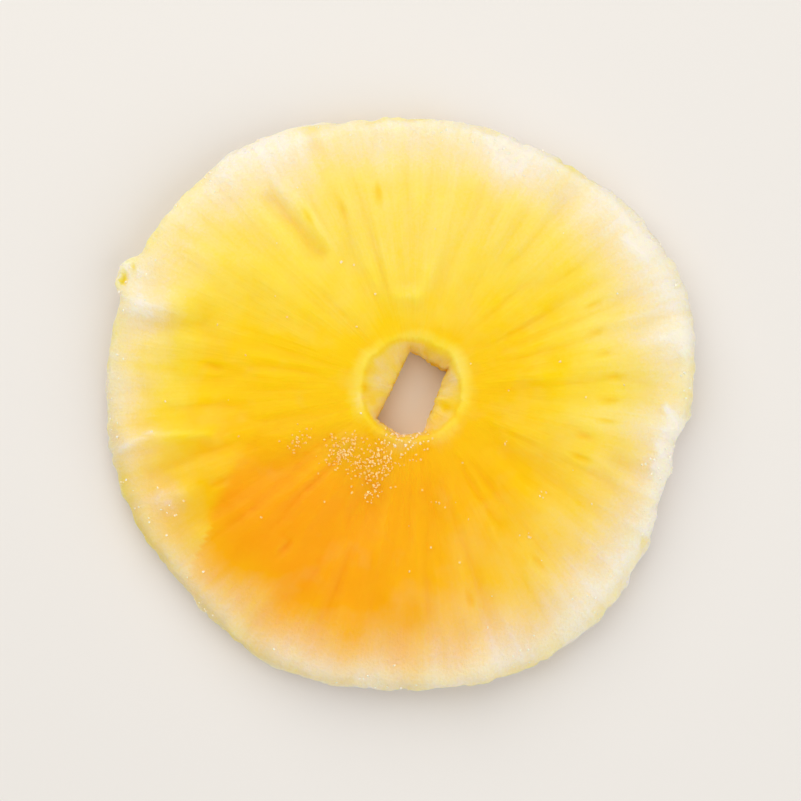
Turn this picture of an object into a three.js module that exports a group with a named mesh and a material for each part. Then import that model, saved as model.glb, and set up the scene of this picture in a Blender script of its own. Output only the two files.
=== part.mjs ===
// A slice of dried, candied pineapple: one soft, leathery ring that lies flat on its back.
// The blank is a plain turned ring. Each of its points is then moved to where drying leaves it:
// the outline draws in unevenly, the core hole closes to a slanted slot between three flaps of
// flesh, the faces pucker along the fibres and parts of the rim curl up.
// Units are millimetres and +Z is up. The origin is under the middle of the ring, on its lowest face.
import * as THREE from "three";

// Driving sizes of the slice
const RING_RADIUS = 39.6;
const THICKNESS = 8.4;
const CROWN_DROP = 2.4; // how much lower the shown face is at the rim than at the hole
const RIM_ROUND = 2.4; // width of the roll from a face to the rim
const HOLE_ROUND = 1.0; // width of the roll from a face into the core hole
const FLAT_SHARE = 0.45; // share of the way out at which the faces stop being flat

// The core hole, which is a little off the middle
const HOLE_CENTRE = [1.2, 1.0];
const HOLE_HALF_WIDTHS = [6.3, 6.2];
const LIP_HEIGHT = 0.45; // the rolled lip round the hole, on the shown face
const LIP_WIDTH = 0.9;
const LIP_SWELLS = { high: 0.5, count: 8, cells: 0, seed: 12 }; // shares of its height
const LIP_GAPS = [{ at: 85, wide: 40, high: -0.9 }];

// The flaps inside the hole are straight chords across it: the direction that each one
// stands in, in degrees, its distance from the hole's centre, and the sector that it fills.
const FLAPS = [
  { toward: 154, reach: 2.8, from: 86, to: 222 },
  { toward: 60, reach: 4.8, from: 29, to: 98 },
  { toward: -21, reach: 3.4, from: -84, to: 41 },
];
const FLAP_EDGE = 6; // degrees over which a flap ends
const FLAP_TOP = 0.95; // height, from -1 at the underside to 1 at the face, where a flap begins
const FLAP_FOOT = 0; // height below which it reaches all the way in
const THROAT_SHARE = 0.97; // how much narrower the hole is below its mouth

// Bulges and dents of the outline: direction and half-width in degrees, height in mm
const OUTLINE_LOBES = [
  { at: 28, wide: 24, high: 1.7 },
  { at: 138, wide: 27, high: 1.7 },
  { at: 184, wide: 20, high: 0.5 },
  { at: 212, wide: 16, high: 0.8 },
  { at: -16, wide: 15, high: -1.2 },
  { at: -9.5, wide: 3.2, high: -0.7 },
  { at: -62, wide: 18, high: 0.7 },
  { at: 250, wide: 15, high: 0.4 },
];
// The small round knob of flesh on the left edge: `middle` and `tall` are its height and its
// half-height on the rim's wall, from -1 at the underside to 1 at the face
const KNOB = { at: 156, wide: 3.8, high: 1.8, middle: 0.1, tall: 0.75 };

// Unevenness of the rim's wall and of the hole's: how high in mm, how many in a turn, how many
// cells in a unit of height, and the seed of the pattern
const RIM_LEAN = { high: 0.45, count: 9, cells: 0, seed: 10 };
const RIM_WAIST = { high: 0.8, count: 15, cells: 0, seed: 11 };
const RIM_SCALLOPS = { high: 0.34, count: 26, cells: 0.8, seed: 1 };
const RIM_NICKS = { high: 0.22, count: 58, cells: 1.2, seed: 2 };
const HOLE_SCALLOPS = { high: 0.25, count: 17, cells: 0, seed: 3 };

// Relief along the fibres, given in the same way, with `cells` counted from hole to rim
const FIBRES = { high: 0.38, count: 36, cells: 2.2, seed: 4 };
const FURROWS = { high: 0.24, count: 54, cells: 3.1, seed: 5 };
const EDGE_FIBRES = { high: 0.3, count: 62, cells: 4.2, seed: 9 };
const BACK_FIBRES = { high: 0.55, count: 34, cells: 2, seed: 8 };
const BACK_SUNK = 0.1; // how much of the back's relief stays pressed flat

// Puckers, alike in all directions: height and size in mm, and the seed
const BROAD_PUCKERS = { high: 0.42, size: 11, seed: 6 };
const SMALL_PUCKERS = { high: 0.24, size: 5.2, seed: 7 };

// Parts of the rim that curled up off the surface while drying
const CURLS = [
  { at: 30, wide: 30, high: 1.5 },
  { at: 146, wide: 32, high: 2.1 },
  { at: 266, wide: 26, high: 1.3 },
];
const CURL_FROM = 0.5; // share of the way from hole to rim at which a curl starts
const CURL_SHOWN = 0.8; // share of a curl that the shown face follows

// Creases (negative) and ridges (positive) of the shown face, each along a straight line
const FOLDS = [
  { from: [-18.3, 27.0], to: [-11.6, 19.8], wide: 1.3, high: -0.85 },
  { from: [-16.5, 28.6], to: [-9.8, 21.4], wide: 1.4, high: 0.45 },
  { from: [-37.6, 13.4], to: [-31.0, 13.2], wide: 2.2, high: 0.9 },
  { from: [-37.5, 9.6], to: [-27.5, 9.8], wide: 1.5, high: -0.7 },
  { from: [-35.5, 2.5], to: [-27.0, 3.5], wide: 4.6, high: -0.6 },
  { from: [-37.6, -5.9], to: [-26.2, -4.9], wide: 1.3, high: 0.8 },
  { from: [-33.0, -13.8], to: [-29.8, -13.0], wide: 1.6, high: 0.6 },
  { from: [-0.6, 13.8], to: [1.8, 13.7], wide: 1.1, high: 0.45 },
  { from: [1.8, 13.7], to: [3.4, 17.2], wide: 1.1, high: 0.4 },
  { from: [29.4, -8.9], to: [36.1, -12.1], wide: 1.4, high: -0.8 },
  { from: [21.5, 25.5], to: [25.5, 30.5], wide: 1.6, high: -0.6 },
];

// Steps of the blank: round the ring, along each face, up the rim's roll, and into the hole
const SECTORS = 128;
const SHOWN_STEPS = 14;
const UNDER_STEPS = 8;
const RIM_STEPS = 4;
const HOLE_STEPS = 2;
const WALL_STEPS = 3;
const WALL_TOP = 0.55; // height, from 0 at mid-thickness to 1 at a face, where the hole's wall ends

const TURN = 360;
const radians = THREE.MathUtils.degToRad;
const degrees = THREE.MathUtils.radToDeg;
const mix = THREE.MathUtils.lerp;
const ramp = THREE.MathUtils.smoothstep;

// A number from -1 to 1 that is always the same for the same whole-number place.
function scatter(i, j, seed) {
  const s = Math.sin(i * 127.1 + j * 311.7 + seed * 74.7) * 43758.5453;
  return 2 * (s - Math.floor(s)) - 1;
}

// Smooth unevenness on a grid that repeats after `around` cells in its first direction.
function unevenness(a, b, around, seed) {
  const i = Math.floor(a);
  const j = Math.floor(b);
  const u = ramp(a - i, 0, 1);
  const w = ramp(b - j, 0, 1);
  const at = (di, dj) => scatter((((i + di) % around) + around) % around, j + dj, seed);
  return mix(mix(at(0, 0), at(1, 0), u), mix(at(0, 1), at(1, 1), u), w);
}

// Rounded ribs round the ring, `along` the fibres or up the wall.
function ribs(angle, along, { high, count, cells, seed }) {
  return high * unevenness((angle / TURN) * count, along * cells, count, seed);
}

// Ribs with narrow, sharp furrows between them.
function furrows(angle, along, { high, count, cells, seed }) {
  return high * (2 * Math.abs(unevenness((angle / TURN) * count, along * cells, count, seed)) - 1);
}

// Lumps that are alike in all directions.
function lumps(x, y, { high, size, seed }) {
  const far = 1000; // cells before the pattern repeats, well past the slice
  return high * unevenness(x / size, y / size, far, seed);
}

// Degrees from one direction to another, from -180 to 180.
function turned(angle, from) {
  return ((((angle - from) % TURN) + 1.5 * TURN) % TURN) - TURN / 2;
}

function lobe(angle, { at, wide, high }) {
  return high * Math.exp(-((turned(angle, at) / wide) ** 2));
}

function lobes(angle, list) {
  return list.reduce((sum, one) => sum + lobe(angle, one), 0);
}

function fold(x, y, { from, to, wide, high }) {
  const dx = to[0] - from[0];
  const dy = to[1] - from[1];
  const along = ((x - from[0]) * dx + (y - from[1]) * dy) / (dx * dx + dy * dy);
  const t = THREE.MathUtils.clamp(along, 0, 1);
  const off = Math.hypot(x - from[0] - t * dx, y - from[1] - t * dy);
  return high * Math.exp(-((off / wide) ** 2));
}

// A round-topped bump, which falls off steeply past its half-width.
function bump(off, wide) {
  return Math.exp(-((off / wide) ** 4));
}

// The outline's radius at one direction, and at a height from -1 to 1.
function rimRadius(angle, side) {
  const knob = KNOB.high * bump(turned(angle, KNOB.at), KNOB.wide) * bump(side - KNOB.middle, KNOB.tall);
  const lean = side * ribs(angle, side, RIM_LEAN);
  const waist = (1 - side ** 2) * ribs(angle, side, RIM_WAIST);
  const nibbled = ribs(angle, side, RIM_SCALLOPS) + furrows(angle, side, RIM_NICKS);
  return RING_RADIUS + lobes(angle, OUTLINE_LOBES) + knob + lean + waist + nibbled;
}

// How far one flap lets the hole open at an angle; past its sector it lets it open fully.
function flapLimit(angle, { toward, reach, from, to }, open) {
  const inside = (to - from) / 2 - Math.abs(turned(angle, (from + to) / 2));
  const slant = Math.cos(radians(angle - toward));
  if (inside <= 0 || slant <= 0) return open;
  return mix(open, Math.min(open, reach / slant), ramp(inside, 0, FLAP_EDGE));
}

function holeRadius(angle, side) {
  const [a, b] = HOLE_HALF_WIDTHS;
  const ellipse = 1 / Math.hypot(Math.cos(radians(angle)) / a, Math.sin(radians(angle)) / b);
  const mouth = ellipse + ribs(angle, side, HOLE_SCALLOPS);
  const throat = FLAPS.reduce((open, flap) => flapLimit(angle, flap, open), mouth * THROAT_SHARE);
  return mix(throat, mouth, ramp(side, FLAP_FOOT, FLAP_TOP));
}

// Height of the shown face over the surface that the slice lies on.
function faceHeight(x, y, angle, share) {
  const crown = THICKNESS - CROWN_DROP * ramp(share, FLAT_SHARE, 1) ** 2;
  const fromHole = share * (RING_RADIUS - HOLE_HALF_WIDTHS[0]);
  const swollen = Math.max(0, 1 + ribs(angle, 0, LIP_SWELLS) + lobes(angle, LIP_GAPS));
  const lip = LIP_HEIGHT * swollen * Math.exp(-(((fromHole - LIP_WIDTH) / LIP_WIDTH) ** 2));
  const fibres = ribs(angle, share, FIBRES) + furrows(angle, share, FURROWS);
  const edge = ramp(share, 0.5, 0.9) * ribs(angle, share, EDGE_FIBRES);
  const puckers = lumps(x, y, BROAD_PUCKERS) + lumps(x, y, SMALL_PUCKERS);
  const folds = FOLDS.reduce((sum, one) => sum + fold(x, y, one), 0);
  return crown + lip + ramp(share, 0.02, 0.35) * fibres + edge + puckers + folds;
}

// Height of the underside: it rests at zero, and its furrows near the rim stand clear of that.
function undersideHeight(angle, share) {
  const raised = ribs(angle, share, BACK_FIBRES) - BACK_SUNK;
  return Math.max(0, ramp(share, FLAT_SHARE, 0.8) * raised);
}

// Where drying leaves the point of the blank at this angle, share of the way out, and height.
function dried(angle, share, side) {
  const cos = Math.cos(radians(angle));
  const sin = Math.sin(radians(angle));
  const hole = holeRadius(angle, side);
  const rim = rimRadius(angle, side);
  const x = mix(HOLE_CENTRE[0] + hole * cos, rim * cos, share);
  const y = mix(HOLE_CENTRE[1] + hole * sin, rim * sin, share);
  const curl = lobes(angle, CURLS) * ramp(share, CURL_FROM, 1) ** 1.5;
  const low = undersideHeight(angle, share) + curl;
  const high = faceHeight(x, y, angle, share) + CURL_SHOWN * curl;
  return new THREE.Vector3(x, y, mix(low, high, (side + 1) / 2));
}

// Half of the section's loop, from the rim's widest place over one face to the hole's wall, as
// points of share (0 at the hole, 1 at the rim) and height (0 at mid-thickness, 1 at the face).
function halfSection(faceSteps) {
  const width = RING_RADIUS - HOLE_HALF_WIDTHS[0];
  const rimShare = RIM_ROUND / width;
  const holeShare = HOLE_ROUND / width;
  const points = [];
  for (let i = 0; i < RIM_STEPS; i += 1) {
    const a = radians((90 * i) / RIM_STEPS);
    points.push(new THREE.Vector2(1 - rimShare * (1 - Math.cos(a)), Math.sin(a)));
  }
  for (let i = 0; i <= faceSteps; i += 1) {
    points.push(new THREE.Vector2(mix(1 - rimShare, holeShare, i / faceSteps), 1));
  }
  for (let i = 1; i <= HOLE_STEPS; i += 1) {
    const a = radians((90 * i) / HOLE_STEPS);
    points.push(new THREE.Vector2(holeShare * (1 - Math.sin(a)), mix(WALL_TOP, 1, Math.cos(a))));
  }
  for (let i = 1; i < WALL_STEPS; i += 1) {
    points.push(new THREE.Vector2(0, mix(WALL_TOP, 0, i / WALL_STEPS)));
  }
  return points;
}

// The whole loop: over the shown face to the hole, down its wall and back under the slice.
function section() {
  const shown = halfSection(SHOWN_STEPS);
  const wall = new THREE.Vector2(0, 0);
  const under = halfSection(UNDER_STEPS)
    .slice(1)
    .reverse()
    .map((p) => new THREE.Vector2(p.x, -p.y));
  const loop = [...shown, wall, ...under];
  return [...loop, loop[0].clone()];
}

// The blank is turned with its share of the way out added to this radius, so that the angle
// and the share can be read back from each of its points.
const BLANK_HOLE = 1;

function pineappleRing() {
  const profile = section().map((p) => new THREE.Vector2(BLANK_HOLE + p.x, p.y));
  const geometry = new THREE.LatheGeometry(profile, SECTORS);
  geometry.rotateX(Math.PI / 2);
  const place = geometry.getAttribute("position");
  for (let i = 0; i < place.count; i += 1) {
    const angle = degrees(Math.atan2(place.getY(i), place.getX(i)));
    const share = Math.hypot(place.getX(i), place.getY(i)) - BLANK_HOLE;
    const point = dried(angle, share, place.getZ(i));
    place.setXYZ(i, point.x, point.y, point.z);
  }
  geometry.computeBoundingBox();
  const middle = geometry.boundingBox.getCenter(new THREE.Vector3());
  geometry.translate(-middle.x, -middle.y, -geometry.boundingBox.min.z);
  geometry.computeVertexNormals();
  return geometry;
}

const candiedFlesh = new THREE.MeshStandardMaterial({
  name: "candied_flesh",
  color: "#fdd53c",
  roughness: 0.42,
  metalness: 0,
});

const ring = new THREE.Mesh(pineappleRing(), candiedFlesh);
ring.name = "pineapple_ring";

const slice = new THREE.Group();
slice.add(ring);

export default slice;
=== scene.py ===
"""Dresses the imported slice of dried, candied pineapple.

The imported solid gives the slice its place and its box. Here the same turned ring is made again
with a much finer blank, moved by the same shape rules and given its fibres, pockets, sugar bloom
and loose sugar grains. Sizes of the slice are in millimetres, and Blender's own units are metres.
"""
import math

import bmesh
import bpy
import numpy as np
from mathutils import Matrix, Vector


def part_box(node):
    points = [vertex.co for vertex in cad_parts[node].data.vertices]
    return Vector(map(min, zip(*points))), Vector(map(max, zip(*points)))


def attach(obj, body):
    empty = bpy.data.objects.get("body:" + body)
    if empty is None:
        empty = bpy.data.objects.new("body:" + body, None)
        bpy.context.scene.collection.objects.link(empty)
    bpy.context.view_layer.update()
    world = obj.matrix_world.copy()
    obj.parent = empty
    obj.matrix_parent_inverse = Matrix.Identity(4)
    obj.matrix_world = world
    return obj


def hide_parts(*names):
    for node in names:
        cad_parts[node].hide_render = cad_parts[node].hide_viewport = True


bl_info = {
    "name": "Dried pineapple ring",
    "version": (1, 0, 0),
    "blender": (4, 5, 0),
    "location": "3D View > Sidebar > Pineapple",
    "description": "Builds a dried, candied pineapple ring and a plain pale stage for it",
    "category": "Object",
}

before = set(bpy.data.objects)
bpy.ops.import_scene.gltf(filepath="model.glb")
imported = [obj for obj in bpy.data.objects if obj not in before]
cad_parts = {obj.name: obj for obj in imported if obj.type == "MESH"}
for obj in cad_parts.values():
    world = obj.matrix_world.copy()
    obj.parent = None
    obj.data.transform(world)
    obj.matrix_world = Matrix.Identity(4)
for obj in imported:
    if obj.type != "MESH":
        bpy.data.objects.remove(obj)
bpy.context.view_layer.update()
RING_LOW, RING_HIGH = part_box("pineapple_ring")

MM = 0.001
TURN = 360.0

# The core hole, which is a little off the middle, and the rolled lip round it, in mm
HOLE_CENTRE = (1.2, 1.0)
HOLE_HALF_WIDTHS = (6.3, 6.2)
HOLE_ROUND = 1.0
LIP_WIDTH = 0.9
LIP_GAPS = ((85, 40, -0.9),)  # where the lip is missing: direction, half-width, share of its height
RIM_ROUND = 2.4
FLAT_SHARE = 0.45  # share of the way from hole to rim at which the faces stop being flat
FLAKE_SLANT = 1.6  # degrees by which the rim's flakes lean between mid-thickness and a face

# Flaps of flesh inside the hole: direction in degrees, distance from the hole's centre in mm,
# and the sector that each one fills
FLAPS = (
    {"toward": 154, "reach": 2.8, "start": 86, "end": 222},
    {"toward": 60, "reach": 4.8, "start": 29, "end": 98},
    {"toward": -21, "reach": 3.4, "start": -84, "end": 41},
)
FLAP_EDGE = 6.0  # degrees over which a flap ends
FLAP_TOP = 0.95  # height, from -1 at the underside to 1 at the face, where a flap begins
FLAP_FOOT = 0.0  # height below which it reaches all the way in
THROAT_SHARE = 0.97  # how much narrower the hole is below its mouth

# Bulges and dents of the outline: direction and half-width in degrees, height in mm
OUTLINE_LOBES = (
    (28, 24, 1.7),
    (138, 27, 1.7),
    (184, 20, 0.5),
    (212, 16, 0.8),
    (-16, 15, -1.2),
    (-9.5, 3.2, -0.7),
    (-62, 18, 0.7),
    (250, 15, 0.4),
)
# The round knob on the left edge; its middle and half-height are shares of the rim's wall
KNOB = {"at": 156, "wide": 3.8, "high": 1.8, "middle": 0.1, "tall": 0.75}

# Unevenness along the fibres or up a wall: height, how many in a turn, cells from end to end, seed
RIM_LEAN = (0.45, 9, 0.0, 10)
RIM_WAIST = (0.8, 15, 0.0, 11)
RIM_SCALLOPS = (0.34, 26, 0.8, 1)
RIM_NICKS = (0.22, 58, 1.2, 2)
RIM_FLAKES = (0.22, 118, 2.2, 41)
RIM_CRUMBS = (0.12, 210, 4.2, 42)
RIM_TORN = (0.42, 97, 1.4, 45)
TORN_AT = ((-12, 9, 1.0), (31, 8, 0.6))  # where the rim is torn: direction, half-width, share
HOLE_SCALLOPS = (0.25, 17, 0.0, 3)
LIP_SWELLS = (0.5, 8, 0.0, 12)
HOLE_TEARS = (0.16, 46, 3.0, 43)
HOLE_THREADS = (0.09, 104, 5.0, 44)
FIBRES = (0.38, 36, 2.2, 4)
FURROWS = (0.24, 54, 3.1, 5)
EDGE_FIBRES = (0.3, 62, 4.2, 9)
BACK_FIBRES = (0.55, 34, 2.0, 8)
BACK_THREADS = (0.12, 120, 6.0, 61)
THREADS = (0.06, 128, 5.0, 51)
THREAD_FURROWS = (0.04, 190, 8.0, 52)
RIM_CHIPS = (0.12, 150, 14.0, 55)

# Shares of the way out over which each of these rises to its full height
FIBRES_RISE = (0.02, 0.35)
EDGE_FIBRES_RISE = (0.5, 0.9)
THREADS_RISE = (0.05, 0.5)
CHIPS_RISE = (0.8, 1.0)
BACK_RISE = (FLAT_SHARE, 0.8)
BACK_SUNK = 0.1  # how much of the back's relief stays pressed flat, in mm

# How far a fibre wanders off its straight way out, in degrees, given in the same way
WANDER = (1.7, 14, 2.6, 91)
SMALL_WANDER = (0.8, 37, 5.0, 92)

# Lumps, alike in all directions: height, size in mm, seed
BROAD_PUCKERS = (0.42, 11.0, 6)
SMALL_PUCKERS = (0.24, 5.2, 7)
GRAINY = (0.05, 1.7, 53)
FINE_GRAINY = (0.035, 0.95, 54)

# Parts of the rim that curled up off the surface: direction and half-width in degrees, height in mm
CURLS = (
    (30, 30, 1.5),
    (146, 32, 2.1),
    (266, 26, 1.3),
)
CURL_FROM = 0.5  # share of the way from hole to rim at which a curl starts
CURL_BEND = 1.5  # power by which it steepens on its way out
CURL_SHOWN = 0.8  # share of a curl that the shown face follows

# Creases and ridges of the shown face: two ends, half-width and height, all in mm
FOLDS = (
    ((-18.3, 27.0), (-11.6, 19.8), 1.3, -0.85),
    ((-16.5, 28.6), (-9.8, 21.4), 1.4, 0.45),
    ((-37.6, 13.4), (-31.0, 13.2), 2.2, 0.9),
    ((-37.5, 9.6), (-27.5, 9.8), 1.5, -0.7),
    ((-35.5, 2.5), (-27.0, 3.5), 4.6, -0.6),
    ((-37.6, -5.9), (-26.2, -4.9), 1.3, 0.8),
    ((-33.0, -13.8), (-29.8, -13.0), 1.6, 0.6),
    ((-0.6, 13.8), (1.8, 13.7), 1.1, 0.45),
    ((1.8, 13.7), (3.4, 17.2), 1.1, 0.4),
    ((29.4, -8.9), (36.1, -12.1), 1.4, -0.8),
    ((21.5, 25.5), (25.5, 30.5), 1.6, -0.6),
)
# Torn flakes and threads near the rim, too fine for the solid, given in the same way
FLAKES = (
    ((35.8, -1.4), (37.6, -4.2), 0.5, 0.5),
    ((34.6, -6.6), (37.0, -7.4), 0.5, 0.4),
    ((35.1, -7.9), (37.2, -8.8), 0.5, 0.5),
    ((34.2, -9.6), (36.0, -12.6), 0.6, 0.4),
    ((33.2, -18.3), (35.6, -15.0), 0.6, 0.4),
    ((30.5, 21.5), (33.0, 19.0), 0.6, 0.4),
    ((-38.6, -7.2), (-34.4, -4.9), 0.5, 0.28),
    ((-34.4, -4.9), (-26.0, -5.2), 0.5, 0.2),
)
FLAKE_HIGHLIGHT = 0.35  # painted highlight: how much paler a flake is for each mm of its height
# The narrow slit behind the knob, given in the same way
KNOB_SLIT = ((-37.3, 17.9), (-38.7, 15.9), 0.28, -1.5)

# The row of small pockets where the fruit's eyes met the flesh: sizes in mm, directions in degrees
POCKET_RADIUS = 27.0
POCKET_STRAY = 2.2  # how far a pocket may lie inside or outside that radius
POCKET_SEED = 31
POCKET_LENGTH = 1.3
POCKET_WIDTH = 0.42
POCKET_DEPTH = 0.45
POCKETS = (-19, -12.5, -7, -1, 5.5, 12, 18.5, 26, 97, 108, 118, 171, 205, 232, 288, 309)

# Where sugar lies in patches on the shown face: place and half-width in mm, grains per mm2
SUGAR_PATCHES = (
    (-7.8, -7.6, 2.1, 9.0),
    (-3.6, -9.4, 2.1, 8.5),
    (-4.8, -13.2, 1.1, 6.0),
    (-14.4, -5.8, 1.4, 3.5),
    (-2.0, -6.4, 1.5, 3.6),
    (1.6, -6.6, 1.8, 3.2),
    (-31.7, -14.1, 1.8, 0.9),
    (14.9, 33.0, 2.4, 0.7),
    (36.2, -8.9, 2.2, 1.0),
    (13.7, -6.0, 0.5, 4.0),
    (19.0, -13.0, 0.55, 4.0),
    (4.5, -14.3, 0.5, 4.0),
    (16.8, -18.6, 0.5, 4.0),
)

# Where the flesh is paler, or below zero richer, than its share of the way to the rim explains:
# place and half-width in mm, and how much paler
PALE_PATCHES = (
    (-34.5, 12.5, 3.6, 0.09),
    (-38.2, 17.4, 2.6, 0.12),
    (-33.5, -5.0, 2.4, 0.03),
    (-31.7, -13.8, 2.4, 0.2),
    (-31.0, 3.5, 3.0, 0.06),
    # painted shade: the deeper orange of the lower face reaching further up on the left
    (-25.5, -3.8, 3.2, -0.13),
    (14.5, 33.5, 3.6, 0.06),
    (-7.8, -7.6, 1.8, 0.3),
    (-3.6, -9.4, 2.0, 0.28),
    (-4.8, -13.2, 1.0, 0.2),
    (-0.2, -6.6, 2.2, 0.24),
    (-14.4, -5.8, 1.3, 0.2),
    (36.4, -10.0, 2.8, 0.16),
    (37.6, -4.5, 2.0, 0.12),
    (0.6, 13.8, 1.6, 0.08),
    (-7.4, 2.6, 2.8, 0.11),
    (-6.2, -2.8, 1.5, 0.1),
    # painted light on the flap's upper corner
    (-0.4, 4.9, 1.2, 0.1),
    (-4.8, 3.3, 0.7, -0.2),
    (-5.3, 1.4, 0.7, -0.22),
    (-4.4, -0.6, 0.8, -0.2),
    # painted shade on the hole's lower right wall, this and the next
    (5.9, -1.3, 1.1, -0.22),
    (7.6, -3.2, 0.8, -0.15),
    (-5.9, -0.4, 0.8, 0.12),
    (8.0, -0.4, 0.9, 0.12),
    (6.7, 2.5, 0.9, 0.1),
)
PATCH_GRAIN = (0.5, 0.8, 30)  # how patches break up in crumbs, as a share of their height

# How the paleness wavers along the fibres and in clouds, given as the relief is
PALE_FEATHERS = (0.04, 60, 2.4, 23)
PALE_THREADS = (0.022, 140, 3.5, 24)
PALE_CLOUDS = (0.05, 8.0, 25)
PALE_RISE = (0.25, 0.7)

# Painted light and frost: the upper part of the face is paler, lit from above and behind and
# frosted, and the places in mm between which it turns pale
UPPER_LIGHT_AND_FROST = 0.66
UPPER_CLOUDS = (1.5, 9.0, 26)
UPPER_SPAN = (-9.0, 24.0)

# Frost of dried sugar near the rim, and where it is thicker or thinner
RIM_FROST = 0.02
FROST_RISE = (0.55, 0.85)
FROST_LOBES = ((50, 26, 0.04), (200, 14, -0.05), (-6, 9, -0.03), (18, 9, 0.03), (180, 10, 0.04))

# The flaps in the hole, paler with painted light where they catch the light, and the pale ring on its
# lip: shares of the way out and heights from -1 to 1 between which each one fades in
FLAP_PAINTED_LIGHT = 0.7
FLAP_BLOTCHES = (0.12, 31, 2.4, 29)
FLAP_SHARES = (0.03, 0.0)
FLAP_HEIGHTS = (-0.6, 0.2)
LIP_PALE = 0.52
LIP_BLOTCHES = (0.12, 13, 0.0, 28)
LIP_AT = 0.027
LIP_SPREAD = 0.065
LIP_HEIGHTS = (-0.4, 0.6)
LIP_SHADE = ((90, 90, 0.08), (262, 58, 0.36))  # where painted shade warms the lip, most on its lower side

# The yellower wall of the rim, between its two pale edges
WALL_YELLOW = 0.09
WALL_BLOTCHES = (0.1, 46, 1.5, 27)
WALL_RISE = (0.93, 0.995)
SLIT_SHADE = 0.2  # painted shade: how much less pale the knob's slit is for each mm of its depth
POCKET_RICH = 0.13  # how much less pale it is in the pockets

# The richer side of the ring: direction and half-width in degrees, and how much less pale it is
RICH_TOWARD = 190.0
RICH_WIDE = 42.0
RICH_DEEP = 0.88
RICH_FADE = 0.8

# Painted shade that deepens the lower part of the face to orange: places in mm between which it
# sets in, and fades to the right, and shares of the way out between which it fades to the rim
SHADE_SPAN = (1.0, 14.0)
SHADE_CLOUDS = (0.9, 7.0, 71)
SHADE_RIGHT_SPAN = (-14.0, 26.0)
SHADE_RIGHT_LOSS = 0.8
SHADE_FADE = (0.64, 1.04)
SHADE_HEIGHTS = (-1.0, 0.6)
# Its firm left edge runs between these two points, in mm
SHADE_EDGE = ((-19.0, -3.6), (-25.5, -16.5))
SHADE_SEEP = 0.4  # how much of the painted shade reaches past that edge
# Painted shade where the rim is warmer: direction and half-width in degrees, share of the shade
SHADE_RIM = ((178, 16, 0.07), (206, 18, 0.2), (245, 22, 0.12), (285, 20, 0.06))
SHADE_RIM_RISE = (0.7, 0.9)

# Loose sugar: grains to the square millimetre on the rim, where its band ends, and elsewhere
RIM_SUGAR = (0.15, 38, 0.0, 82)
RIM_SUGAR_EDGE = (0.04, 50, 0.0, 81)
RIM_SUGAR_RISE = (0.88, 0.99)
RIM_SUGAR_HEIGHTS = (-1.0, -0.2)
STREWN_SUGAR = 0.008
STREWN_HEIGHTS = (0.9, 1.0)
HEAPED_ABOVE = 0.5  # height over which sugar lies in patches

# A crystal's sides and worn corners as shares of its length, and the smallest and largest grain as
# shares of the mean
CRYSTAL_SIDES = (1.0, 0.8, 0.62)
CRYSTAL_WORN = 0.2
GRAIN_RANGE = (0.55, 1.45)

# Cells of the streak pattern: radius of the circle that it is wrapped round, cells from hole to rim,
# and cells from mid-thickness to a face
STREAK_RADIUS = 34.0
STREAK_CELLS = 2.6
STREAK_LIFT = 0.5

# Steps of the fine blank
SECTORS = 432
SHOWN_STEPS = 84
UNDER_STEPS = 34
RIM_STEPS = 10
HOLE_STEPS = 8
WALL_STEPS = 12
WALL_TOP = 0.55  # height, from 0 at mid-thickness to 1 at a face, where the hole's wall ends
BLANK_HOLE = 1.0  # radius of the blank's hole, whose shares of the way out are counted from there

# The stage, in metres
KEY_PLACE = (-0.17, 0.35, 0.46)
FILL_PLACE = (0.40, -0.34, 0.50)
LIGHT_SIZE = 0.8
FLOOR_RADIUS = 6.0
FLOOR_GAP = 0.00003


def ramp(x, low, high):
    """A smooth step from 0 at low to 1 at high."""
    t = np.clip((x - low) / (high - low), 0.0, 1.0)
    return t * t * (3.0 - 2.0 * t)


def mix(a, b, t):
    return a + (b - a) * t


def scatter(i, j, seed):
    """A number from -1 to 1 that is always the same for the same whole-number place."""
    s = np.sin(i * 127.1 + j * 311.7 + seed * 74.7) * 43758.5453
    return 2.0 * (s - np.floor(s)) - 1.0


def unevenness(a, b, around, seed):
    """Smooth unevenness on a grid that repeats after `around` cells in its first direction."""
    i = np.floor(a)
    j = np.floor(b)
    u = ramp(a - i, 0.0, 1.0)
    w = ramp(b - j, 0.0, 1.0)
    near = mix(scatter(i % around, j, seed), scatter((i + 1) % around, j, seed), u)
    far = mix(scatter(i % around, j + 1, seed), scatter((i + 1) % around, j + 1, seed), u)
    return mix(near, far, w)


def ribs(angle, along, pattern):
    """Rounded ribs round the ring, along the fibres or up a wall."""
    high, count, cells, seed = pattern
    return high * unevenness(angle / TURN * count, along * cells, count, seed)


def furrows(angle, along, pattern):
    """Ribs with narrow, sharp furrows between them."""
    high, count, cells, seed = pattern
    return high * (2.0 * np.abs(unevenness(angle / TURN * count, along * cells, count, seed)) - 1.0)


def lumps(x, y, pattern):
    """Lumps that are alike in all directions."""
    high, size, seed = pattern
    far = 1000  # cells before the pattern repeats, well past the slice
    return high * unevenness(x / size, y / size, far, seed)


def bump(off, wide):
    """A round-topped bump, which falls off steeply past its half-width."""
    return np.exp(-((off / wide) ** 4))


def turned(angle, start):
    """Degrees from one direction to another, from -180 to 180."""
    return np.mod(angle - start + 1.5 * TURN, TURN) - TURN / 2


def lobes(angle, places):
    """Sum of soft lobes, each a direction and a half-width in degrees and a height."""
    total = np.zeros_like(angle)
    for at, wide, high in places:
        total += high * np.exp(-((turned(angle, at) / wide) ** 2))
    return total


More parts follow.
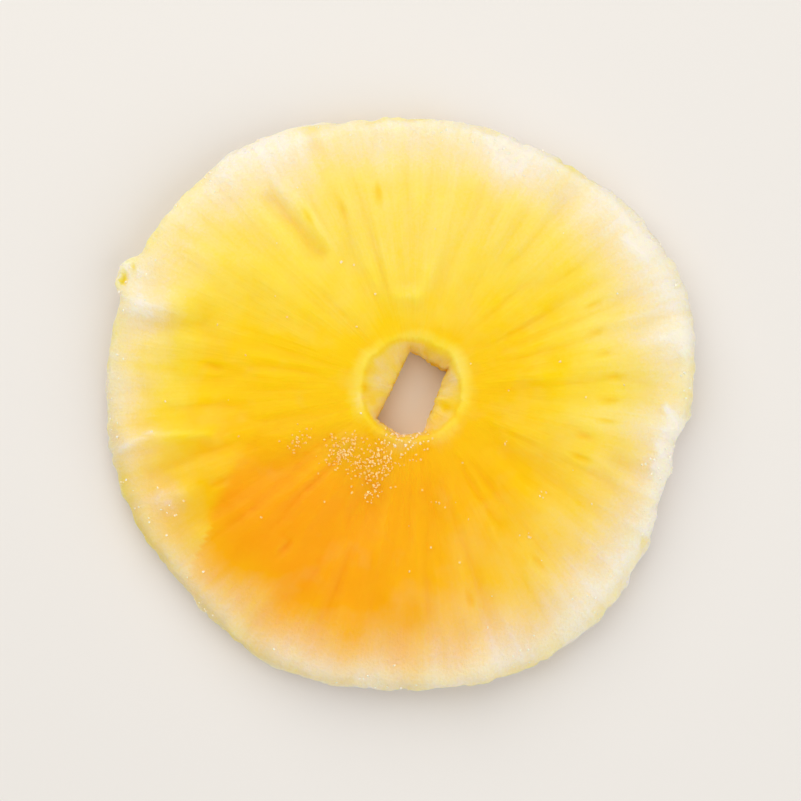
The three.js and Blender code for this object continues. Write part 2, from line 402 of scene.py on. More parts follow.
def off_line(x, y, start, end):
    """Distance from points to a straight line between two ends."""
    dx = end[0] - start[0]
    dy = end[1] - start[1]
    t = np.clip(((x - start[0]) * dx + (y - start[1]) * dy) / (dx * dx + dy * dy), 0.0, 1.0)
    return np.hypot(x - start[0] - t * dx, y - start[1] - t * dy)


def lines_of(x, y, lines):
    """Sum of soft lines, each two ends, a half-width and a height, all in mm."""
    total = np.zeros_like(x)
    for start, end, wide, high in lines:
        total += high * np.exp(-((off_line(x, y, start, end) / wide) ** 2))
    return total


def pockets(x, y):
    """Small dents, each one drawn out along the fibres."""
    total = np.zeros_like(x)
    for number, direction in enumerate(POCKETS):
        turn = math.radians(direction)
        radius = POCKET_RADIUS + POCKET_STRAY * float(scatter(number, 3, POCKET_SEED))
        along = x * math.cos(turn) + y * math.sin(turn) - radius
        across = -x * math.sin(turn) + y * math.cos(turn)
        total += np.exp(-((along / POCKET_LENGTH) ** 2) - (across / POCKET_WIDTH) ** 2)
    return total


def rim_radius(angle, side, ring):
    """The outline's radius at one direction, and at a height from -1 to 1."""
    knob = bump(turned(angle, KNOB["at"]), KNOB["wide"]) * bump(side - KNOB["middle"], KNOB["tall"])
    lean = side * ribs(angle, side, RIM_LEAN)
    waist = (1.0 - side ** 2) * ribs(angle, side, RIM_WAIST)
    nibbled = ribs(angle, side, RIM_SCALLOPS) + furrows(angle, side, RIM_NICKS)
    flakes = furrows(angle + FLAKE_SLANT * side, side, RIM_FLAKES)
    crumbs = ribs(angle - FLAKE_SLANT * side, side, RIM_CRUMBS)
    torn = lobes(angle, TORN_AT) * furrows(angle, side, RIM_TORN)
    uneven = lean + waist + nibbled + (flakes + crumbs + torn) * ring.flake_depth
    return ring.radius + lobes(angle, OUTLINE_LOBES) + KNOB["high"] * knob + uneven


def flap_limit(angle, flap, hole_open):
    """How far one flap lets the hole open at an angle."""
    middle = (flap["start"] + flap["end"]) / 2
    inside = (flap["end"] - flap["start"]) / 2 - np.abs(turned(angle, middle))
    slant = np.cos(np.radians(angle - flap["toward"]))
    closed = np.minimum(hole_open, flap["reach"] / np.maximum(slant, 1e-6))
    held = np.where(slant > 0, ramp(inside, 0.0, FLAP_EDGE), 0.0)
    return mix(hole_open, closed, held)


def hole_radius(angle, side):
    a, b = HOLE_HALF_WIDTHS
    ellipse = 1.0 / np.hypot(np.cos(np.radians(angle)) / a, np.sin(np.radians(angle)) / b)
    mouth = ellipse + ribs(angle, side, HOLE_SCALLOPS)
    throat = mouth * THROAT_SHARE
    for flap in FLAPS:
        throat = flap_limit(angle, flap, throat)
    torn = ribs(angle, side, HOLE_TEARS) + ribs(angle, side, HOLE_THREADS)
    return mix(throat, mouth, ramp(side, FLAP_FOOT, FLAP_TOP)) + torn


def wavy(angle, share):
    """The angle that a fibre started at, as fibres wander a little on their way out."""
    return angle + ribs(angle, share, WANDER) + ribs(angle, share, SMALL_WANDER)


def face_relief(x, y, angle, share, ring):
    """Puckers, folds and fibres of the shown face, about a mean of zero."""
    fibres = ribs(angle, share, FIBRES) + furrows(angle, share, FURROWS)
    edge = ramp(share, *EDGE_FIBRES_RISE) * ribs(angle, share, EDGE_FIBRES)
    puckers = lumps(x, y, BROAD_PUCKERS) + lumps(x, y, SMALL_PUCKERS)
    bent = wavy(angle, share)
    threads = ribs(bent, share, THREADS) + furrows(bent, share, THREAD_FURROWS)
    chips = ramp(share, *CHIPS_RISE) * furrows(bent, share, RIM_CHIPS)
    fine = (ramp(share, *THREADS_RISE) * threads + chips) * ring.fibre_depth
    grainy = lumps(x, y, GRAINY) + lumps(x, y, FINE_GRAINY)
    dents = -POCKET_DEPTH * pockets(x, y)
    folds = lines_of(x, y, (*FOLDS, *FLAKES, KNOB_SLIT))
    return ramp(share, *FIBRES_RISE) * fibres + edge + puckers + fine + grainy + dents + folds


def face_height(x, y, angle, share, ring):
    """Height of the shown face over the surface that the slice lies on."""
    crown = ring.thickness - ring.crown_drop * ramp(share, FLAT_SHARE, 1.0) ** 2
    from_hole = share * (ring.radius - HOLE_HALF_WIDTHS[0])
    swollen = np.maximum(0.0, 1.0 + ribs(angle, 0.0, LIP_SWELLS) + lobes(angle, LIP_GAPS))
    lip = ring.lip_height * swollen * np.exp(-(((from_hole - LIP_WIDTH) / LIP_WIDTH) ** 2))
    return crown + lip + face_relief(x, y, angle, share, ring)


def underside_height(angle, share):
    """Height of the underside: it rests at zero, and its furrows stand clear of that."""
    raised = ribs(angle, share, BACK_FIBRES) - BACK_SUNK
    threads = BACK_THREADS[0] + ribs(angle, share, BACK_THREADS)
    return np.maximum(0.0, ramp(share, *BACK_RISE) * (raised + threads))


def dried(angle, share, side, ring):
    """Where drying leaves the point of the blank at this angle, share of the way out, and height."""
    cos = np.cos(np.radians(angle))
    sin = np.sin(np.radians(angle))
    hole = hole_radius(angle, side)
    rim = rim_radius(angle, side, ring)
    x = mix(HOLE_CENTRE[0] + hole * cos, rim * cos, share)
    y = mix(HOLE_CENTRE[1] + hole * sin, rim * sin, share)
    curl = lobes(angle, CURLS) * ramp(share, CURL_FROM, 1.0) ** CURL_BEND
    low = underside_height(angle, share) + curl
    high = face_height(x, y, angle, share, ring) + CURL_SHOWN * curl
    return x, y, mix(low, high, (side + 1.0) / 2.0)


def half_section(face_steps, ring):
    """Points of share and height from the rim's widest place, over one face, to the hole's wall."""
    width = ring.radius - HOLE_HALF_WIDTHS[0]
    rim_share = RIM_ROUND / width
    hole_share = HOLE_ROUND / width
    points = []
    for i in range(RIM_STEPS):
        a = math.radians(90.0 * i / RIM_STEPS)
        points.append((1.0 - rim_share * (1.0 - math.cos(a)), math.sin(a)))
    for i in range(face_steps + 1):
        points.append((mix(1.0 - rim_share, hole_share, i / face_steps), 1.0))
    for i in range(1, HOLE_STEPS + 1):
        a = math.radians(90.0 * i / HOLE_STEPS)
        points.append((hole_share * (1.0 - math.sin(a)), mix(WALL_TOP, 1.0, math.cos(a))))
    for i in range(1, WALL_STEPS):
        points.append((0.0, mix(WALL_TOP, 0.0, i / WALL_STEPS)))
    return points


def blank_ring(ring):
    """A bmesh of the turned blank, whose points hold their share and height."""
    under = [(share, -side) for share, side in half_section(UNDER_STEPS, ring)[:0:-1]]
    loop = half_section(SHOWN_STEPS, ring) + [(0.0, 0.0)] + under
    bm = bmesh.new()
    verts = [bm.verts.new((BLANK_HOLE + share, 0.0, side)) for share, side in loop]
    edges = [bm.edges.new((verts[i - 1], verts[i])) for i in range(len(verts))]
    bmesh.ops.spin(
        bm,
        geom=verts + edges,
        cent=(0.0, 0.0, 0.0),
        axis=(0.0, 0.0, 1.0),
        angle=math.tau,
        steps=SECTORS,
        use_merge=True,
    )
    bmesh.ops.remove_doubles(bm, verts=bm.verts, dist=1e-6)
    put_in_order(bm)
    return bm


def put_in_order(bm):
    """Sorts the faces by their corners: the spin's own order varies, and sugar falls face by face."""
    bm.verts.index_update()
    count = len(bm.verts)

    def first_and_last(face):
        corners = [vert.index for vert in face.verts]
        return min(corners) * count + max(corners)

    bm.faces.sort(key=first_and_last)


def new_object(name, mesh):
    obj = bpy.data.objects.new(name, mesh)
    bpy.context.scene.collection.objects.link(obj)
    return obj


def add_values(mesh, name, values):
    """Keeps one number for each vertex on the mesh, for its material to read."""
    attribute = mesh.attributes.new(name, "FLOAT", "POINT")
    attribute.data.foreach_set("value", np.asarray(values, dtype=np.float32))


def linear(hex_colour):
    """An sRGB hex colour as linear red, green, blue and alpha."""
    channels = [int(hex_colour[i:i + 2], 16) / 255.0 for i in (1, 3, 5)]
    lit = [c / 12.92 if c <= 0.04045 else ((c + 0.055) / 1.055) ** 2.4 for c in channels]
    return (*lit, 1.0)


def add_node(tree, kind, settings=None, links=None):
    """Adds a node: settings fill its properties and input sockets, links feed its inputs."""
    node = tree.nodes.new(kind)
    for key, value in (settings or {}).items():
        if isinstance(key, str) and hasattr(node, key):
            setattr(node, key, value)
        else:
            node.inputs[key].default_value = value
    for key, socket in (links or {}).items():
        tree.links.new(socket, node.inputs[key])
    return node


def fill_ramp(node, stops):
    """Gives a colour ramp its stops, each a position and an sRGB hex colour."""
    elements = node.color_ramp.elements
    while len(elements) < len(stops):
        elements.new(0.5)
    for element, (position, colour) in zip(elements, stops):
        element.position = position
        element.color = linear(colour)


class FleshSettings(bpy.types.PropertyGroup):
    radius: bpy.props.FloatProperty(
        name="Radius", description="Mean radius of the slice, in mm", default=39.6, min=20.0, max=60.0)
    thickness: bpy.props.FloatProperty(
        name="Thickness", description="Thickness at the hole, in mm", default=8.4, min=3.0, max=20.0)
    crown_drop: bpy.props.FloatProperty(
        name="Crown drop", description="How much lower the face is at the rim, in mm", default=2.4)
    lip_height: bpy.props.FloatProperty(
        name="Lip height", description="Height of the rolled lip round the hole, in mm", default=0.45)
    fibre_depth: bpy.props.FloatProperty(
        name="Fibre depth", description="Share of the full depth of the fine fibres",
        default=1.0, min=0.0, max=2.0, subtype="FACTOR")
    flake_depth: bpy.props.FloatProperty(
        name="Flake depth", description="Share of the full depth of the rim's flakes",
        default=1.0, min=0.0, max=2.0, subtype="FACTOR")
    flesh_colour: bpy.props.StringProperty(
        name="Flesh", description="Yellow of the flesh between hole and rim", default="#ffc700")
    # Colour of the painted shade on the lower part of the face
    shade_colour: bpy.props.StringProperty(
        name="Syrup", description="Deeper colour where syrup soaked the flesh", default="#ffa800")
    bloom_colour: bpy.props.StringProperty(
        name="Bloom", description="Colour of the dried sugar bloom", default="#fcecdd")


class SugarSettings(bpy.types.PropertyGroup):
    grain_size: bpy.props.FloatProperty(
        name="Grain size", description="Mean length of a sugar grain, in mm", default=0.26)
    seed: bpy.props.IntProperty(name="Seed", description="Seed of the grains' places", default=7)


class StageSettings(bpy.types.PropertyGroup):
    floor_colour: bpy.props.StringProperty(
        name="Floor", description="Colour of the plain floor", default="#e6e3df")
    key_power: bpy.props.FloatProperty(
        name="Key light", description="Power of the key light, in watts", default=2.65, min=0.0)
    fill_power: bpy.props.FloatProperty(
        name="Fill light", description="Power of the fill light, in watts", default=1.95, min=0.0)
    sky_strength: bpy.props.FloatProperty(
        name="Sky", description="Strength of the even white light from all round",
        default=0.5, min=0.0)
    elevation: bpy.props.FloatProperty(
        name="Elevation", description="Camera's height above the horizon",
        default=math.radians(86.0), subtype="ANGLE", unit="ROTATION")
    lens: bpy.props.FloatProperty(
        name="Lens", description="Focal length of the camera in mm", default=100.0)
    slice_share: bpy.props.FloatProperty(
        name="Slice share", description="Share of the picture's width that the slice fills",
        default=0.74, min=0.2, max=1.0, subtype="FACTOR")


def patches_of(x, y, places):
    """Sum of round patches, each a place, a half-width in mm and a height."""
    total = np.zeros_like(x)
    for px, py, wide, high in places:
        total += high * np.exp(-(((x - px) ** 2 + (y - py) ** 2) / wide ** 2))
    return total


def round_lip(share):
    """A soft band on the lip, 1 at its middle."""
    return np.exp(-(((share - LIP_AT) / LIP_SPREAD) ** 2))


def paleness(x, y, angle, share, side):
    """How far the flesh dried pale, from 0 in the middle to 1 at the rim, plus painted light and shade.
    """
    bent = wavy(angle, share)
    feathers = ribs(bent, share, PALE_FEATHERS) + furrows(bent, share, PALE_THREADS)
    uneven = ramp(share, *PALE_RISE) * (feathers + lumps(x, y, PALE_CLOUDS))
    frosted = ramp(share, *FROST_RISE) * (RIM_FROST + lobes(angle, FROST_LOBES))
    rich_side = np.exp(-((turned(angle, RICH_TOWARD) / RICH_WIDE) ** 2))
    rich = rich_side * (RICH_DEEP - RICH_FADE * share)
    wall_yellow = WALL_YELLOW + ribs(angle, side, WALL_BLOTCHES)
    wall = ramp(share, *WALL_RISE) * (1.0 - side ** 4) * wall_yellow
    # Painted light and frost: the upper part of the face paler
    upper = UPPER_LIGHT_AND_FROST * ramp(y + lumps(x, y, UPPER_CLOUDS), *UPPER_SPAN)
    lip_pale = LIP_PALE + ribs(angle, 0.0, LIP_BLOTCHES)
    lip = lip_pale * (round_lip(share) * ramp(side, *LIP_HEIGHTS))
    # Painted light: the flaps in the hole paler, as they catch the light
    flap_light = FLAP_PAINTED_LIGHT + ribs(angle, side, FLAP_BLOTCHES)
    flap = flap_light * ramp(share, *FLAP_SHARES) * ramp(side, *FLAP_HEIGHTS)
    inner = np.maximum(np.maximum(lip, flap), upper)
    out = np.maximum(share + uneven + frosted - rich - wall, inner)
    # Painted highlight: the raised flakes paler, as they catch the light
    raised = FLAKE_HIGHLIGHT * lines_of(x, y, FLAKES)
    # Painted shade in the knob's slit, and the pockets less pale
    sunk = SLIT_SHADE * lines_of(x, y, (KNOB_SLIT,)) - POCKET_RICH * pockets(x, y)
    patches = patches_of(x, y, PALE_PATCHES) * (1.0 + lumps(x, y, PATCH_GRAIN))
    return np.clip(out + patches + raised + sunk, 0.0, 1.0)


def painted_shade(x, y, angle, share):
    """Painted shade, deeper orange: the lower part of the face with a firm edge on the left, and parts
    of the rim and lip.
    """
    below = ramp(lumps(x, y, SHADE_CLOUDS) - y, *SHADE_SPAN)
    border = off_line(x, y, SHADE_EDGE[0], SHADE_EDGE[1])
    run = (SHADE_EDGE[0][0] - SHADE_EDGE[1][0], SHADE_EDGE[0][1] - SHADE_EDGE[1][1])
    left_of = (x - SHADE_EDGE[0][0]) * run[1] - (y - SHADE_EDGE[0][1]) * run[0]
    beyond = np.where(left_of < 0.0, mix(SHADE_SEEP, 1.0, np.exp(-(border ** 2))), 1.0)
    rim = 1.0 - ramp(share + ribs(angle, share, PALE_FEATHERS), *SHADE_FADE)
    right = 1.0 - SHADE_RIGHT_LOSS * ramp(x, *SHADE_RIGHT_SPAN)
    dusted = 1.0 - np.clip(patches_of(x, y, PALE_PATCHES), 0.0, 1.0)
    warm_rim = lobes(angle, SHADE_RIM) * ramp(share, *SHADE_RIM_RISE)
    warm_lip = lobes(angle, LIP_SHADE) * round_lip(share)
    return np.clip(below * beyond * rim * right * dusted + warm_rim + warm_lip, 0.0, 1.0)


def sugar_density(x, y, angle, share, side):
    """Sugar grains to the square millimetre."""
    reach = share + ribs(angle, 0.0, RIM_SUGAR_EDGE)
    band = ramp(reach, *RIM_SUGAR_RISE) * ramp(side, *RIM_SUGAR_HEIGHTS)
    rim = band * (RIM_SUGAR[0] + ribs(angle, 0.0, RIM_SUGAR))
    strewn = STREWN_SUGAR * ramp(side, *STREWN_HEIGHTS)
    heaped = np.where(side > HEAPED_ABOVE, patches_of(x, y, SUGAR_PATCHES), 0.0)
    return np.maximum(0.0, rim + strewn + heaped)


def candied_flesh(settings):
    """Candied pineapple: cellulose steeped in sugar syrup and dried to a soft, cloudy gel.

    Light goes a few millimetres in and comes back yellow, so edges glow and relief looks soft.
    Towards the rim the flesh dries pale along its fibres, under a matt bloom of fine sugar.
    """
    material = bpy.data.materials.new("candied_pineapple_flesh")
    material.use_nodes = True
    tree = material.node_tree
    tree.nodes.clear()
    pale = add_node(tree, "ShaderNodeAttribute", {"attribute_name": "paleness"})
    orange_shade = add_node(tree, "ShaderNodeAttribute", {"attribute_name": "painted_shade"})
    relief = add_node(tree, "ShaderNodeAttribute", {"attribute_name": "relief"})
    fibre = add_node(tree, "ShaderNodeAttribute", {"attribute_name": "fibre_space"})
    place = add_node(tree, "ShaderNodeTexCoord")
    in_mm = add_node(tree, "ShaderNodeMapping", {"Scale": (1000.0, 1000.0, 1000.0)},
                     {"Vector": place.outputs["Object"]})

    streaks = add_node(tree, "ShaderNodeTexNoise", {"Scale": 1.0, "Detail": 4.0, "Roughness": 0.6},
                       {"Vector": fibre.outputs["Vector"]})
    cloud = add_node(tree, "ShaderNodeTexNoise", {"Scale": 0.16, "Detail": 3.0, "Roughness": 0.55},
                     {"Vector": in_mm.outputs["Vector"]})
    crumbs = add_node(tree, "ShaderNodeTexNoise", {"Scale": 2.2, "Detail": 3.0, "Roughness": 0.65},
                      {"Vector": in_mm.outputs["Vector"]})

    # Paleness, broken up along the fibres and lifted on the ridges
    by_streak = add_node(tree, "ShaderNodeMapRange",
                         {"From Min": 0.3, "From Max": 0.7, "To Min": -0.03, "To Max": 0.03},
                         {"Value": streaks.outputs["Fac"]})
    by_ridge = add_node(tree, "ShaderNodeMapRange",
                        {"From Min": -0.9, "From Max": 0.9, "To Min": -0.04, "To Max": 0.04},
                        {"Value": relief.outputs["Fac"]})
    lifted = add_node(tree, "ShaderNodeMath", {"operation": "ADD"},
                      {0: by_streak.outputs["Result"], 1: by_ridge.outputs["Result"]})
    by_crystal = add_node(tree, "ShaderNodeMapRange",
                          {"From Min": 0.38, "From Max": 0.62, "To Min": 0.97, "To Max": 1.03},
                          {"Value": crumbs.outputs["Fac"]})
    grained = add_node(tree, "ShaderNodeMath", {"operation": "MULTIPLY"},
                       {0: pale.outputs["Fac"], 1: by_crystal.outputs["Result"]})
    dried_pale = add_node(tree, "ShaderNodeMath", {"operation": "ADD"},
                          {0: grained.outputs["Value"], 1: lifted.outputs["Value"]})
    tint = add_node(tree, "ShaderNodeValToRGB", None, {"Fac": dried_pale.outputs["Value"]})
    fill_ramp(tint, ((0.0, settings.flesh_colour), (0.3, "#fecd1c"), (0.44, "#fed53c"), (0.6, "#fedb58"),
                     (0.74, "#fedf84"), (0.87, "#fce3b3"), (1.0, settings.bloom_colour)))
    # Painted shade: the lower part of the face mixed towards a deeper orange
    shaded_colour = add_node(tree, "ShaderNodeMix", {"data_type": "RGBA", 7: linear(settings.shade_colour)},
                    {0: orange_shade.outputs["Fac"], 6: tint.outputs["Color"]})

    # Clouding, as air and fibres sit unevenly in the gel
    by_cloud = add_node(tree, "ShaderNodeMapRange",
                        {"From Min": 0.3, "From Max": 0.7, "To Min": 0.98, "To Max": 1.05},
                        {"Value": cloud.outputs["Fac"]})
    clouded = add_node(tree, "ShaderNodeHueSaturation", {"Hue": 0.5, "Value": 1.0},
                       {"Color": shaded_colour.outputs[2], "Saturation": by_cloud.outputs["Result"]})

    # Bloom: matt where sugar dried on the rim and the ridges
    bloom = add_node(tree, "ShaderNodeMapRange",
                     {"From Min": 0.72, "From Max": 1.0, "To Min": 0.0, "To Max": 1.0},
                     {"Value": dried_pale.outputs["Value"]})
    gloss = add_node(tree, "ShaderNodeMapRange",
                     {"From Min": 0.0, "From Max": 1.0, "To Min": 0.4, "To Max": 0.72},
                     {"Value": bloom.outputs["Result"]})

    # Fibres and fine crystals in the surface
    thread_bump = add_node(tree, "ShaderNodeBump", {"Strength": 0.3, "Distance": 0.0003},
                           {"Height": streaks.outputs["Fac"]})
    crystal_height = add_node(tree, "ShaderNodeMath", {"operation": "MULTIPLY"},
                              {0: crumbs.outputs["Fac"], 1: bloom.outputs["Result"]})
    crystal_bump = add_node(tree, "ShaderNodeBump", {"Strength": 0.5, "Distance": 0.0004},
                            {"Height": crystal_height.outputs["Value"],
                             "Normal": thread_bump.outputs["Normal"]})

    skin = add_node(tree, "ShaderNodeBsdfPrincipled",
                    {"IOR": 1.45, "Specular IOR Level": 0.15, "Subsurface Weight": 0.85,
                     "Subsurface Scale": 0.007, "Subsurface Radius": (1.0, 0.8, 0.2)},
                    {"Base Color": clouded.outputs["Color"], "Roughness": gloss.outputs["Result"],
                     "Normal": crystal_bump.outputs["Normal"]})
    add_node(tree, "ShaderNodeOutputMaterial", None, {"Surface": skin.outputs["BSDF"]})
    return material


def sugar_crystal():
    """Table sugar: clear crystals with small bright facets.

    A wet crystal shows the flesh that it lies on, so its colour follows the flesh's paleness, and
    it reads as white only on the dry rim.
    """
    material = bpy.data.materials.new("sugar_crystal")
    material.use_nodes = True
    tree = material.node_tree
    tree.nodes.clear()
    place = add_node(tree, "ShaderNodeTexCoord")
    in_mm = add_node(tree, "ShaderNodeMapping", {"Scale": (1000.0, 1000.0, 1000.0)},
                     {"Vector": place.outputs["Object"]})
    clump = add_node(tree, "ShaderNodeTexNoise", {"Scale": 0.8, "Detail": 2.0},
                     {"Vector": in_mm.outputs["Vector"]})
    dryness = add_node(tree, "ShaderNodeMapRange",
                       {"From Min": 0.3, "From Max": 0.7, "To Min": -0.15, "To Max": 0.15},
                       {"Value": clump.outputs["Fac"]})
    pale = add_node(tree, "ShaderNodeAttribute", {"attribute_name": "paleness"})
    shown = add_node(tree, "ShaderNodeMath", {"operation": "ADD"},
                     {0: pale.outputs["Fac"], 1: dryness.outputs["Result"]})
    tint = add_node(tree, "ShaderNodeValToRGB", None, {"Fac": shown.outputs["Value"]})
    fill_ramp(tint, ((0.1, "#ffcc66"), (0.5, "#ffdf96"), (0.9, "#fff6e6")))
    skin = add_node(tree, "ShaderNodeBsdfPrincipled",
                    {"IOR": 1.54, "Roughness": 0.22}, {"Base Color": tint.outputs["Color"]})
    add_node(tree, "ShaderNodeOutputMaterial", None, {"Surface": skin.outputs["BSDF"]})
    return material


def plain_floor(colour):
    """Matt painted board in one plain, even colour."""
    material = bpy.data.materials.new("matt_floor")
    material.use_nodes = True
    skin = material.node_tree.nodes["Principled BSDF"]
    skin.inputs["Base Color"].default_value = linear(colour)
    skin.inputs["Roughness"].default_value = 0.85
    return material


class FLESH_OT_build(bpy.types.Operator):
    """Builds the slice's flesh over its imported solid"""
    bl_idname = "pineapple.flesh"
    bl_label = "Flesh"

    def execute(self, context):
        ring = context.scene.pineapple_flesh
        bm = blank_ring(ring)
        mesh = bpy.data.meshes.new("pineapple_flesh")
        bm.to_mesh(mesh)
        bm.free()
        blank = np.empty(len(mesh.vertices) * 3)
        mesh.vertices.foreach_get("co", blank)
        blank = blank.reshape(-1, 3)
        angle = np.degrees(np.arctan2(blank[:, 1], blank[:, 0]))
        share = np.hypot(blank[:, 0], blank[:, 1]) - BLANK_HOLE
        side = blank[:, 2]
        x, y, z = dried(angle, share, side, ring)
        places = np.stack([x, y, z], axis=1) * MM
        middle = (places.min(axis=0) + places.max(axis=0)) / 2
        places[:, :2] += (np.array(RING_LOW) + np.array(RING_HIGH))[:2] / 2 - middle[:2]
        places[:, 2] += RING_LOW[2]
        mesh.vertices.foreach_set("co", places.ravel())
        add_values(mesh, "paleness", paleness(x, y, angle, share, side))
        # Painted shade: the lower part of the face turned deeper orange
        add_values(mesh, "painted_shade", painted_shade(x, y, angle, share) * ramp(side, *SHADE_HEIGHTS))
        add_values(mesh, "relief", face_relief(x, y, angle, share, ring))
        add_values(mesh, "sugar_density", sugar_density(x, y, angle, share, side))
        fibre = np.stack([
            STREAK_RADIUS * np.cos(np.radians(angle)),
            STREAK_RADIUS * np.sin(np.radians(angle)),
            STREAK_CELLS * share + STREAK_LIFT * side,
        ], axis=1)
        attribute = mesh.attributes.new("fibre_space", "FLOAT_VECTOR", "POINT")
        attribute.data.foreach_set("vector", fibre.astype(np.float32).ravel())
        bm = bmesh.new()
        bm.from_mesh(mesh)
        bmesh.ops.recalc_face_normals(bm, faces=bm.faces)
        bm.to_mesh(mesh)
        bm.free()
        mesh.shade_smooth()
        flesh = new_object("pineapple_flesh", mesh)
        mesh.materials.append(candied_flesh(ring))
        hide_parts("pineapple_ring")
        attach(flesh, "root")
        return {"FINISHED"}


def crystal_mesh():
    """One sugar crystal a unit long: a block with its corners worn off."""
    bm = bmesh.new()
    bmesh.ops.create_cube(bm, size=1.0, matrix=Matrix.Diagonal((*CRYSTAL_SIDES, 1.0)))
    bmesh.ops.bevel(bm, geom=list(bm.verts), offset=CRYSTAL_WORN, affect="VERTICES", segments=1,
                    profile=0.5, material=-1)
    mesh = bpy.data.meshes.new("sugar_crystal_shape")
    bm.to_mesh(mesh)
    bm.free()
    return mesh


def sugar_layer(crystal, settings):
    """Geometry nodes that strew crystals over a mesh by its sugar density, and make them real."""
    tree = bpy.data.node_groups.new("sugar_layer", "GeometryNodeTree")
    tree.interface.new_socket("Geometry", in_out="INPUT", socket_type="NodeSocketGeometry")
    tree.interface.new_socket("Geometry", in_out="OUTPUT", socket_type="NodeSocketGeometry")
    start = add_node(tree, "NodeGroupInput")
    density = add_node(tree, "GeometryNodeInputNamedAttribute",
                       {"data_type": "FLOAT", "Name": "sugar_density"})
    in_metres = add_node(tree, "ShaderNodeMath", {"operation": "MULTIPLY", 1: 1.0 / MM ** 2},
                         {0: density.outputs[0]})
    points = add_node(tree, "GeometryNodeDistributePointsOnFaces", {"Seed": settings.seed},
                      {"Mesh": start.outputs[0], "Density": in_metres.outputs["Value"]})
    shape = add_node(tree, "GeometryNodeObjectInfo", {"Object": crystal})
    turn = add_node(tree, "FunctionNodeRandomValue", {"data_type": "FLOAT_VECTOR"})
    turn.inputs[0].default_value = (0.0, 0.0, 0.0)
    turn.inputs[1].default_value = (math.tau, math.tau, math.tau)
    turn.inputs["Seed"].default_value = settings.seed + 1
    size = add_node(tree, "FunctionNodeRandomValue", {"data_type": "FLOAT"})
    size.inputs[2].default_value = GRAIN_RANGE[0] * settings.grain_size * MM
    size.inputs[3].default_value = GRAIN_RANGE[1] * settings.grain_size * MM
    size.inputs["Seed"].default_value = settings.seed + 2
    grains = add_node(tree, "GeometryNodeInstanceOnPoints", None,
                      {"Points": points.outputs["Points"], "Instance": shape.outputs["Geometry"],
                       "Rotation": turn.outputs[0], "Scale": size.outputs[1]})
    real = add_node(tree, "GeometryNodeRealizeInstances", None, {0: grains.outputs["Instances"]})
    add_node(tree, "NodeGroupOutput", None, {0: real.outputs[0]})
    return tree


class SUGAR_OT_strew(bpy.types.Operator):
    """Strews sugar grains over the flesh"""
    bl_idname = "pineapple.sugar"
    bl_label = "Sugar grains"

    def execute(self, context):
        settings = context.scene.pineapple_sugar
        crystal = new_object("sugar_crystal_shape", crystal_mesh())
        ground = bpy.data.objects["pineapple_flesh"].data.copy()
        source = new_object("sugar_ground", ground)
        layer = source.modifiers.new("sugar", "NODES")
        layer.node_group = sugar_layer(crystal, settings)
        context.view_layer.update()
        dressed = source.evaluated_get(context.evaluated_depsgraph_get())
        mesh = bpy.data.meshes.new_from_object(dressed)
        mesh.name = "sugar_grains"
        mesh.materials.clear()
        mesh.materials.append(sugar_crystal())
        bpy.data.objects.remove(source)
        bpy.data.objects.remove(crystal)
        if not mesh.polygons:
            raise RuntimeError("the sugar layer made no grains")
        grains = new_object("sugar_grains", mesh)
        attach(grains, "root")
        return {"FINISHED"}


def area_light(name, place, aim, power, colour):
    data = bpy.data.lights.new(name, "AREA")
    data.shape = "DISK"
    data.size = LIGHT_SIZE
    data.energy = power
    data.color = linear(colour)[:3]
    light = new_object(name, data)
    light.location = place
    light.rotation_euler = (aim - light.location).to_track_quat("-Z", "Y").to_euler()
    return light


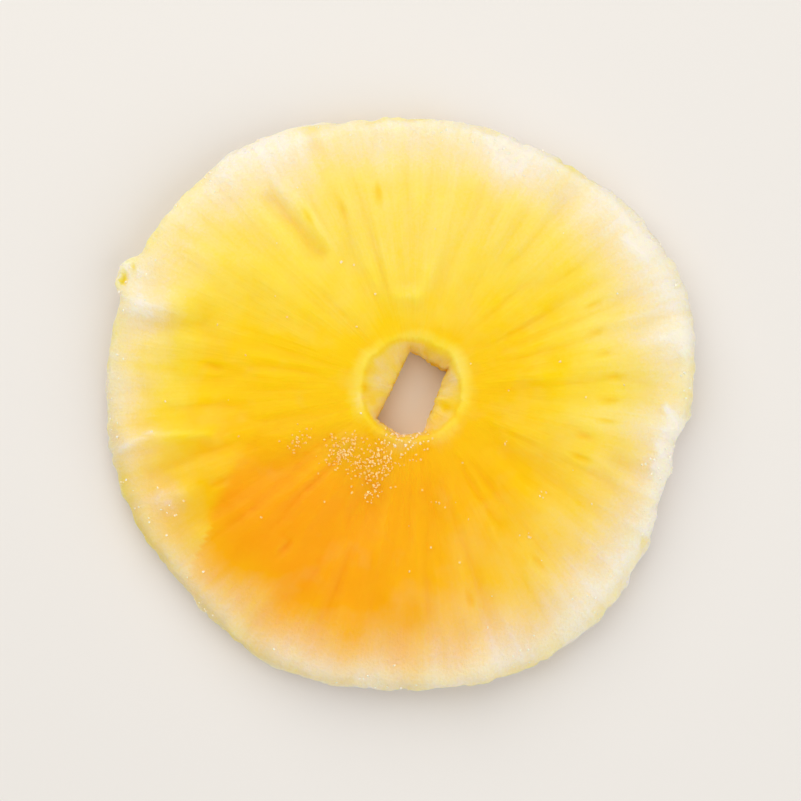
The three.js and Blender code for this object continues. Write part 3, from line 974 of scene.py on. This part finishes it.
class STAGE_OT_set(bpy.types.Operator):
    """Sets a pale floor, soft studio light and a camera that looks down on the slice"""
    bl_idname = "pineapple.stage"
    bl_label = "Stage"

    def execute(self, context):
        settings = context.scene.pineapple_stage
        scene = context.scene
        low, high = (Vector(corner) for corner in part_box("pineapple_ring"))
        middle = (low + high) / 2
        bm = bmesh.new()
        bmesh.ops.create_circle(bm, cap_ends=True, segments=96, radius=FLOOR_RADIUS,
                                matrix=Matrix.Translation((0.0, 0.0, low.z - FLOOR_GAP)))
        mesh = bpy.data.meshes.new("floor")
        bm.to_mesh(mesh)
        bm.free()
        floor = new_object("floor", mesh)
        mesh.materials.append(plain_floor(settings.floor_colour))

        area_light("key", KEY_PLACE, middle, settings.key_power, "#fffaf2")
        area_light("fill", FILL_PLACE, middle, settings.fill_power, "#ffffff")
        world = bpy.data.worlds.new("studio")
        world.use_nodes = True
        sky = world.node_tree.nodes["Background"]
        sky.inputs["Color"].default_value = (1.0, 1.0, 1.0, 1.0)
        sky.inputs["Strength"].default_value = settings.sky_strength
        scene.world = world
        scene.view_settings.view_transform = "Standard"

        camera = bpy.data.cameras.new("camera")
        camera.lens = settings.lens
        frame_width = (high.x - low.x) / settings.slice_share
        distance = settings.lens / camera.sensor_width * frame_width
        view = new_object("camera", camera)
        tilt = math.pi / 2 - settings.elevation
        view.location = middle + distance * Vector((0.0, -math.sin(tilt), math.cos(tilt)))
        view.rotation_euler = (tilt, 0.0, 0.0)
        scene.camera = view
        return {"FINISHED"}


class PINEAPPLE_PT_panel(bpy.types.Panel):
    """Lists what builds the slice"""
    bl_idname = "PINEAPPLE_PT_panel"
    bl_label = "Dried pineapple ring"
    bl_space_type = "VIEW_3D"
    bl_region_type = "UI"
    bl_category = "Pineapple"

    def draw(self, context):
        for operator in (FLESH_OT_build, SUGAR_OT_strew, STAGE_OT_set):
            self.layout.operator(operator.bl_idname)
        for settings in (context.scene.pineapple_flesh, context.scene.pineapple_sugar,
                         context.scene.pineapple_stage):
            for name in settings.__annotations__:
                self.layout.prop(settings, name)


CLASSES = (
    FleshSettings,
    SugarSettings,
    StageSettings,
    FLESH_OT_build,
    SUGAR_OT_strew,
    STAGE_OT_set,
    PINEAPPLE_PT_panel,
)


def register():
    for one in CLASSES:
        bpy.utils.register_class(one)
    bpy.types.Scene.pineapple_flesh = bpy.props.PointerProperty(type=FleshSettings)
    bpy.types.Scene.pineapple_sugar = bpy.props.PointerProperty(type=SugarSettings)
    bpy.types.Scene.pineapple_stage = bpy.props.PointerProperty(type=StageSettings)


def unregister():
    del bpy.types.Scene.pineapple_stage
    del bpy.types.Scene.pineapple_sugar
    del bpy.types.Scene.pineapple_flesh
    for one in reversed(CLASSES):
        bpy.utils.unregister_class(one)


def main():
    register()
    bpy.ops.pineapple.stage()
    bpy.ops.pineapple.flesh()
    bpy.ops.pineapple.sugar()


if __name__ == "__main__":
    main()
